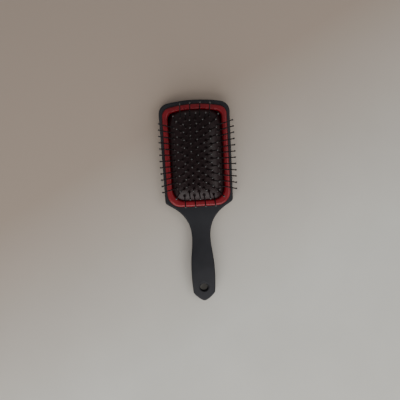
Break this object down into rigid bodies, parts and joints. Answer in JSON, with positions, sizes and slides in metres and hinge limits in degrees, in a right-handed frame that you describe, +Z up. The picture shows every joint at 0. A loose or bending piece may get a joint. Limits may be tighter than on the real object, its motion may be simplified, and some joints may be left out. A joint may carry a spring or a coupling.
{
  "type": "paddle hair brush",
  "caption": "Paddle hair brush: flat handle with a hang hole, red frame holding a domed rubber air cushion with rows of ball-tipped pins.",
  "frame": {"origin": "centre of the footprint, on the surface that the brush lies on", "axes": "+X across the paddle, +Y from the handle's end to the paddle's far end, +Z up from the flat back through the pins"},
  "size_m": [0.0878, 0.242, 0.0491],
  "materials": {
    "soft_touch_shell": "soft-touch black moulded plastic",
    "red_frame": "gloss red moulded plastic",
    "cushion_rubber": "smooth black rubber with a dull sheen",
    "pin_nylon": "black nylon with glossy ball tips"
  },
  "bodies": {
    "brush_body": {"front_shell": "soft_touch_shell", "back_shell": "soft_touch_shell", "pad_frame": "red_frame", "rubber_cushion": "cushion_rubber"},
    "middle_pins": {"pin_row_07": "pin_nylon", "pin_row_08": "pin_nylon", "pin_row_09": "pin_nylon", "pin_row_10": "pin_nylon", "pin_row_11": "pin_nylon", "pin_row_12": "pin_nylon", "pin_row_13": "pin_nylon"},
    "quarter_pins": {"pin_row_04": "pin_nylon", "pin_row_05": "pin_nylon", "pin_row_06": "pin_nylon", "pin_row_14": "pin_nylon", "pin_row_15": "pin_nylon", "pin_row_16": "pin_nylon"},
    "outer_pins": {"pin_row_01": "pin_nylon", "pin_row_02": "pin_nylon", "pin_row_03": "pin_nylon", "pin_row_17": "pin_nylon", "pin_row_18": "pin_nylon", "pin_row_19": "pin_nylon"},
    "side_edge_pins": {"pins_left_edge": "pin_nylon", "pins_right_edge": "pin_nylon"},
    "end_edge_pins": {"pins_handle_end": "pin_nylon", "pins_far_end": "pin_nylon"}
  },
  "joints": [
    {"name": "middle_pins_press", "type": "slide", "parent": "brush_body", "child": "middle_pins", "axis": [0, 0, -1], "range_m": [0, 0.004], "stiffness_N_per_m": 300, "deforming": ["rubber_cushion"]},
    {"name": "quarter_pins_press", "type": "slide", "parent": "brush_body", "child": "quarter_pins", "axis": [0, 0, -1], "range_m": [0, 0.004], "stiffness_N_per_m": 300},
    {"name": "outer_pins_press", "type": "slide", "parent": "brush_body", "child": "outer_pins", "axis": [0, 0, -1], "range_m": [0, 0.004], "stiffness_N_per_m": 300},
    {"name": "side_edge_pins_press", "type": "slide", "parent": "brush_body", "child": "side_edge_pins", "axis": [0, 0, -1], "range_m": [0, 0.004], "stiffness_N_per_m": 300},
    {"name": "end_edge_pins_press", "type": "slide", "parent": "brush_body", "child": "end_edge_pins", "axis": [0, 0, -1], "range_m": [0, 0.004], "stiffness_N_per_m": 300}
  ],
  "couplings": [
    {"joint": "quarter_pins_press", "follows": "middle_pins_press", "ratio": 0.97},
    {"joint": "outer_pins_press", "follows": "middle_pins_press", "ratio": 0.9},
    {"joint": "side_edge_pins_press", "follows": "middle_pins_press", "ratio": 0.58},
    {"joint": "end_edge_pins_press", "follows": "middle_pins_press", "ratio": 0.74}
  ]
}
